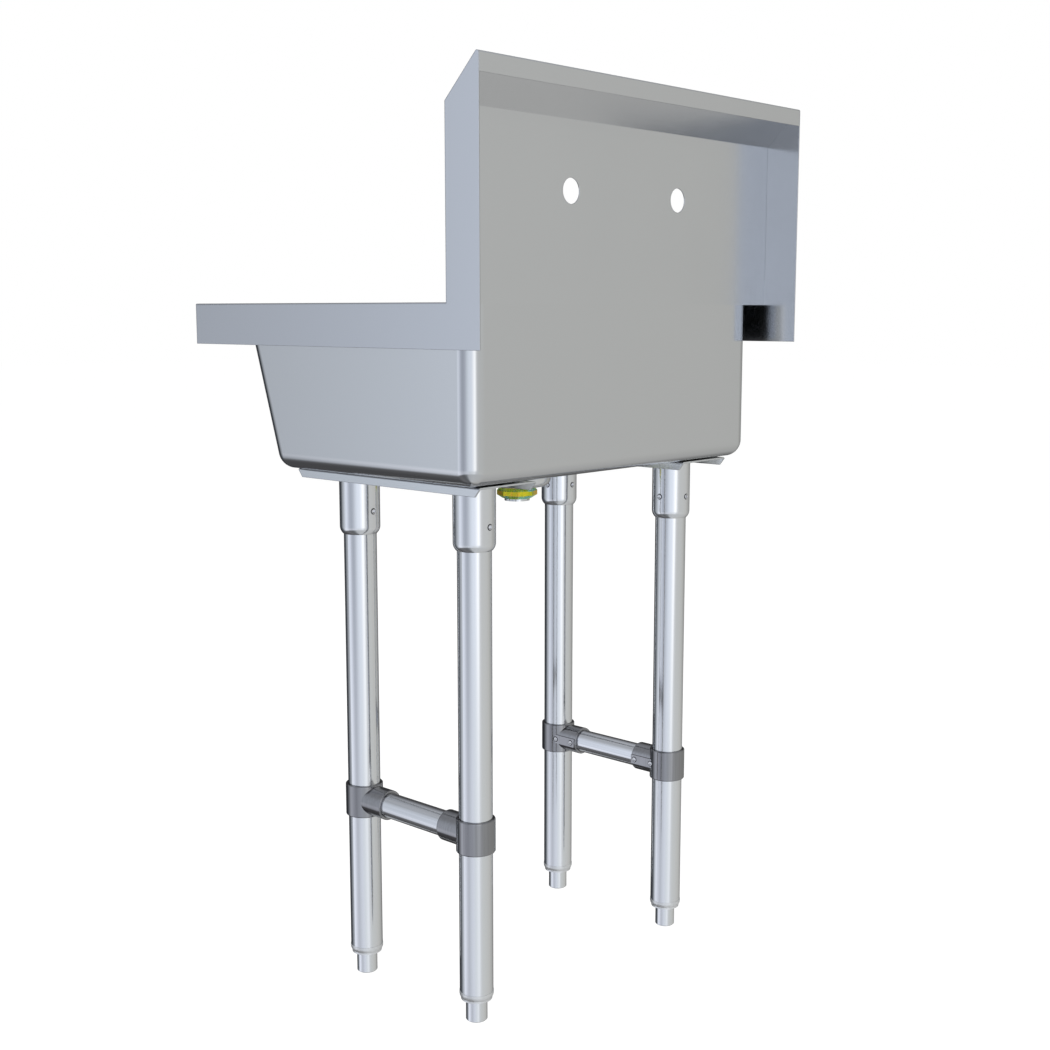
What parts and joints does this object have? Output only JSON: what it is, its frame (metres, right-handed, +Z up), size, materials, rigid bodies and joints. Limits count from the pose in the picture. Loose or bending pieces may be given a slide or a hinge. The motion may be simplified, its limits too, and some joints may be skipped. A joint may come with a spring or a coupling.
{
  "type": "utility laundry sink",
  "caption": "Free-standing stainless utility sink with a coved bowl, raised backsplash with faucet holes, basket drain and braced tube legs on levelling feet.",
  "frame": {"origin": "centre of the footprint at floor level, halfway between the front apron and the wall", "axes": "+Z up, +Y towards the wall behind the sink, +X to the right of a user who faces the wall"},
  "size_m": [0.6048, 0.4984, 1.1195],
  "materials": {
    "sheet_steel": "brushed stainless sheet",
    "tube_steel": "polished stainless tube",
    "fitting_steel": "satin machined steel",
    "tee_casting": "dark satin casting",
    "screw_steel": "bright machined steel",
    "drain_steel": "pressed stainless steel",
    "plated_nut": "yellow-green zinc plate",
    "rubber": "matt black rubber",
    "friction_ring": "matt pressed fibre"
  },
  "bodies": {
    "sink": {"bowl": "sheet_steel", "front_rim": "sheet_steel", "right_end_panel": "sheet_steel", "left_end_panel": "sheet_steel", "backsplash": "sheet_steel", "right_leg_channel": "sheet_steel", "left_leg_channel": "sheet_steel", "right_front_socket": "fitting_steel", "right_back_socket": "fitting_steel", "left_front_socket": "fitting_steel", "left_back_socket": "fitting_steel", "right_front_leg": "tube_steel", "right_back_leg": "tube_steel", "left_front_leg": "tube_steel", "left_back_leg": "tube_steel", "right_front_tee": "tee_casting", "right_back_tee": "tee_casting", "left_front_tee": "tee_casting", "left_back_tee": "tee_casting", "right_brace": "tube_steel", "left_brace": "tube_steel", "socket_set_screws": "screw_steel", "tee_set_screws": "screw_steel", "right_front_insert": "fitting_steel", "right_back_insert": "fitting_steel", "left_front_insert": "fitting_steel", "left_back_insert": "fitting_steel", "drain_body": "drain_steel", "drain_clamp_cup": "drain_steel", "drain_gasket": "rubber", "drain_washer": "friction_ring", "drain_locknut": "plated_nut"},
    "basket": {"strainer_basket": "drain_steel", "basket_stopper": "rubber", "basket_knob": "drain_steel"},
    "right_front_foot": {"right_front_foot": "fitting_steel"},
    "right_back_foot": {"right_back_foot": "fitting_steel"},
    "left_front_foot": {"left_front_foot": "fitting_steel"},
    "left_back_foot": {"left_back_foot": "fitting_steel"}
  },
  "joints": [
    {"name": "basket_lift", "type": "slide", "parent": "sink", "child": "basket", "axis": [0, 0, 1], "range_m": [0, 0.23]},
    {"name": "right_front_foot_screw", "type": "slide", "parent": "sink", "child": "right_front_foot", "axis": [0, 0, 1], "range_m": [-0.0127, 0.0127]},
    {"name": "right_back_foot_screw", "type": "slide", "parent": "sink", "child": "right_back_foot", "axis": [0, 0, 1], "range_m": [-0.0127, 0.0127]},
    {"name": "left_front_foot_screw", "type": "slide", "parent": "sink", "child": "left_front_foot", "axis": [0, 0, 1], "range_m": [-0.0127, 0.0127]},
    {"name": "left_back_foot_screw", "type": "slide", "parent": "sink", "child": "left_back_foot", "axis": [0, 0, 1], "range_m": [-0.0127, 0.0127]}
  ]
}
